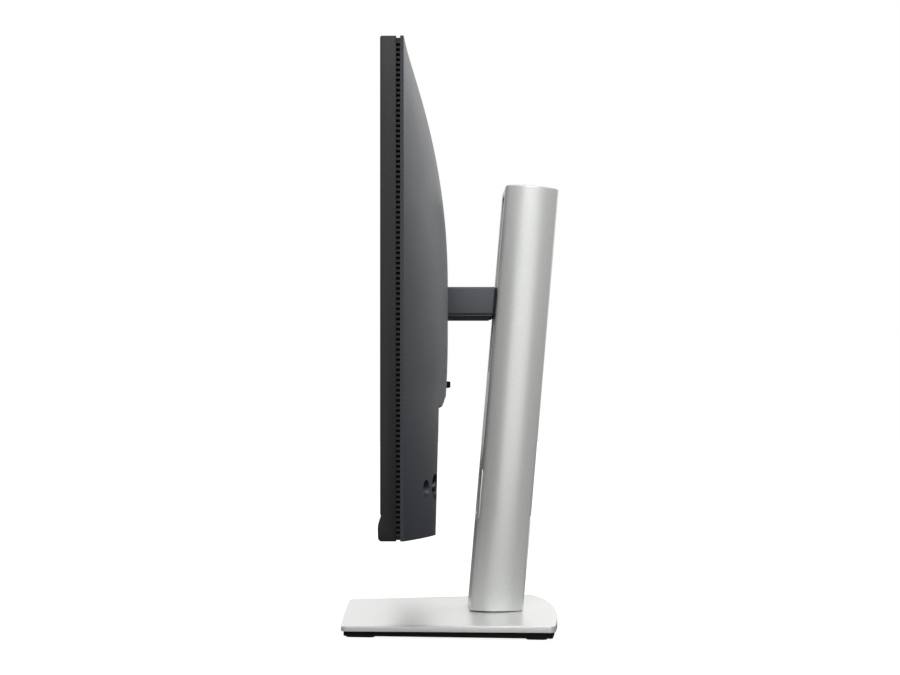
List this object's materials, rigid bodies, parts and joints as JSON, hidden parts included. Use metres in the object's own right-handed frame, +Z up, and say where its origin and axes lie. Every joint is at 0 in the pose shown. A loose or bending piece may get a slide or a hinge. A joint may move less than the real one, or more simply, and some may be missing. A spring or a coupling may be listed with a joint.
{
  "type": "computer monitor",
  "caption": "Thin-bezel desktop monitor on a height-adjusting, tilting and swivelling stand: leaning oval column, short arm and flared flat base.",
  "frame": {"origin": "middle of the whole monitor's footprint on the table top", "axes": "+Z up; the screen faces -Y; +X is to the right for someone looking at the screen"},
  "size_m": [0.5378, 0.1712, 0.4078],
  "materials": {
    "bezel_plastic": "fine satin",
    "vent_plastic": "matte black",
    "cover_plastic": "fine spark-eroded texture",
    "screen_glass": "anti-glare film over dark glass",
    "diffuser_film": "frosted",
    "clear_acrylic": "clear, polished edges",
    "led_strip": "white solder mask",
    "circuit_board": "green solder mask",
    "sheet_steel": "zinc-coated sheet",
    "inlet_plastic": "black moulded",
    "connector_shell": "nickel-plated shells",
    "spring_steel": "bright",
    "button_plastic": "satin black",
    "die_cast_metal": "as cast",
    "plated_steel": "bright zinc",
    "arm_plastic": "satin grey",
    "arm_dark_plastic": "dark grey",
    "seal_plastic": "matte black",
    "foot_rubber": "matte black",
    "acetal": "natural white",
    "friction_metal": "greased",
    "silver_finish": "light silver paint",
    "base_plastic": "black moulded",
    "weight_iron": "bare"
  },
  "bodies": {
    "base": {"base_cover": "silver_finish", "base_underside": "base_plastic", "base_weight": "weight_iron", "bearing_washer": "acetal", "foot_front_left": "foot_rubber", "foot_front_right": "foot_rubber", "foot_rear_left": "foot_rubber", "foot_rear_right": "foot_rubber"},
    "column": {"column_shell": "silver_finish", "inner_channel": "sheet_steel", "spring_strip": "spring_steel", "column_foot": "die_cast_metal", "swivel_hub": "die_cast_metal", "retaining_plate": "sheet_steel"},
    "thumbscrew": {"thumbscrew": "plated_steel"},
    "thumbscrew_ring": {"thumbscrew_ring": "plated_steel"},
    "arm": {"arm_core": "die_cast_metal", "arm_cover_upper": "arm_plastic", "arm_cover_lower": "arm_dark_plastic", "arm_end_seal": "seal_plastic", "carriage": "die_cast_metal", "slide_pad_left": "acetal", "slide_pad_right": "acetal", "friction_washer_left": "friction_metal", "friction_washer_right": "friction_metal"},
    "spring_drum": {"spring_drum": "spring_steel"},
    "tilt": {"pivot_disc": "die_cast_metal", "tilt_bracket": "die_cast_metal", "tilt_shaft": "plated_steel", "tilt_nut": "plated_steel"},
    "head": {"front_bezel": "bezel_plastic", "vent_strip": "vent_plastic", "rear_cover": "cover_plastic", "lcd_panel": "screen_glass", "diffuser_sheets": "diffuser_film", "light_guide": "clear_acrylic", "led_bar": "led_strip", "driver_board": "circuit_board", "panel_back_pan": "sheet_steel", "chassis_plate": "sheet_steel", "mount_bracket": "sheet_steel", "main_board": "circuit_board", "power_board": "circuit_board", "button_board": "circuit_board", "power_light_pipe": "clear_acrylic", "power_inlet": "inlet_plastic", "digital_video_port_1": "connector_shell", "digital_video_port_2": "connector_shell", "analog_video_port": "connector_shell", "upstream_data_port": "connector_shell", "data_port_pair": "connector_shell", "quick_release_plate": "sheet_steel", "latch_spring": "spring_steel"},
    "release_button": {"release_button": "button_plastic"},
    "release_latch": {"release_latch": "plated_steel"},
    "power_button": {"power_button": "button_plastic"},
    "stick_side": {"joystick_gimbal": "plated_steel"},
    "stick_up": {"joystick_stem": "plated_steel"},
    "stick_press": {"joystick_knob": "button_plastic"}
  },
  "joints": [
    {"name": "base_swivel", "type": "hinge", "parent": "base", "child": "column", "pos_m": [0, 0.03615, 0.0134], "axis": [0, 0, 1], "range_deg": [-45, 45]},
    {"name": "height_slide", "type": "slide", "parent": "column", "child": "arm", "axis": [0, 0.0844, 0.9964], "range_m": [-0.045, 0.075]},
    {"name": "tilt", "type": "hinge", "parent": "arm", "child": "tilt", "pos_m": [0, -0.0045, 0.25965], "axis": [-1, 0, 0], "range_deg": [-5, 21]},
    {"name": "pivot", "type": "hinge", "parent": "tilt", "child": "head", "pos_m": [0, -0.016, 0.25965], "axis": [0, 1, 0], "range_deg": [-8, 8]},
    {"name": "release_press", "type": "slide", "parent": "head", "child": "release_button", "axis": [0, -1, 0], "range_m": [0, 0.003], "stiffness_N_per_m": 400, "springref_m": -0.004, "deforming": ["latch_spring"]},
    {"name": "latch_slide", "type": "slide", "parent": "head", "child": "release_latch", "axis": [0, 0, -1], "range_m": [0, 0.003]},
    {"name": "power_press", "type": "slide", "parent": "head", "child": "power_button", "axis": [0, -1, 0], "range_m": [0, 0.0008], "stiffness_N_per_m": 800, "springref_m": -0.001},
    {"name": "stick_side", "type": "hinge", "parent": "head", "child": "stick_side", "pos_m": [0.215, -0.031, 0.12], "axis": [0, 0, 1], "range_deg": [-10, 10], "stiffness_Nm_per_rad": 0.03},
    {"name": "stick_up", "type": "hinge", "parent": "stick_side", "child": "stick_up", "pos_m": [0.215, -0.031, 0.12], "axis": [1, 0, 0], "range_deg": [-10, 10], "stiffness_Nm_per_rad": 0.03},
    {"name": "stick_press", "type": "slide", "parent": "stick_up", "child": "stick_press", "axis": [0, -1, 0], "range_m": [0, 0.0008], "stiffness_N_per_m": 800, "springref_m": -0.001},
    {"name": "drum_roll", "type": "hinge", "parent": "arm", "child": "spring_drum", "pos_m": [0, 0.05223, 0.18779], "axis": [1, 0, 0], "range_deg": [-440, 265]},
    {"name": "thumbscrew_turn", "type": "hinge", "parent": "column", "child": "thumbscrew", "pos_m": [0, 0.03615, 0.005], "axis": [0, 0, 1], "continuous": true},
    {"name": "ring_fold", "type": "hinge", "parent": "thumbscrew", "child": "thumbscrew_ring", "pos_m": [0, 0.03615, 0.0037], "axis": [-1, 0, 0], "range_deg": [0, 90]}
  ],
  "couplings": [
    {"joint": "latch_slide", "follows": "release_press", "ratio": 1},
    {"joint": "drum_roll", "follows": "height_slide", "rad_per_m": -101}
  ]
}
